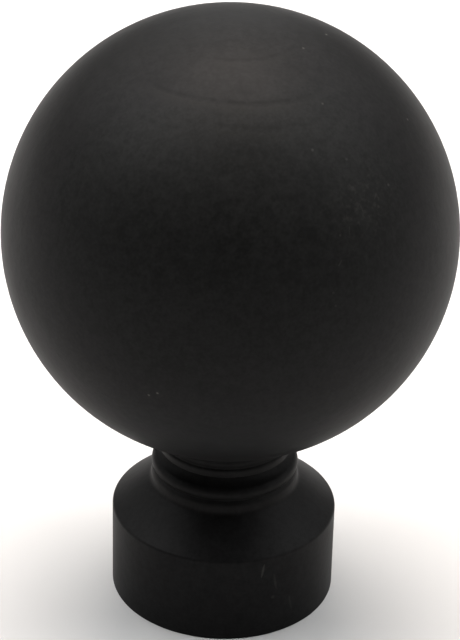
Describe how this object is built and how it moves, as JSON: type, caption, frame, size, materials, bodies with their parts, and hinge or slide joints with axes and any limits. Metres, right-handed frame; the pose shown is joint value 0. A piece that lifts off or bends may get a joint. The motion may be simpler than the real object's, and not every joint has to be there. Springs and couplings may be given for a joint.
{
  "type": "curtain pole finial",
  "caption": "Turned wooden ball finial on a short moulded neck, with a plain round collar that matches its pole and a pilot hole in the end face.",
  "frame": {"origin": "centre of the collar's end face, the face that meets the pole", "axes": "+Z along the turning axis, from the pole's end towards the ball; X and Y are any two directions square to it"},
  "size_m": [0.068, 0.068, 0.0955],
  "materials": {
    "black_paint": "matt black sprayed paint on turned hardwood"
  },
  "bodies": {
    "root": {"finial": "black_paint"}
  },
  "joints": []
}
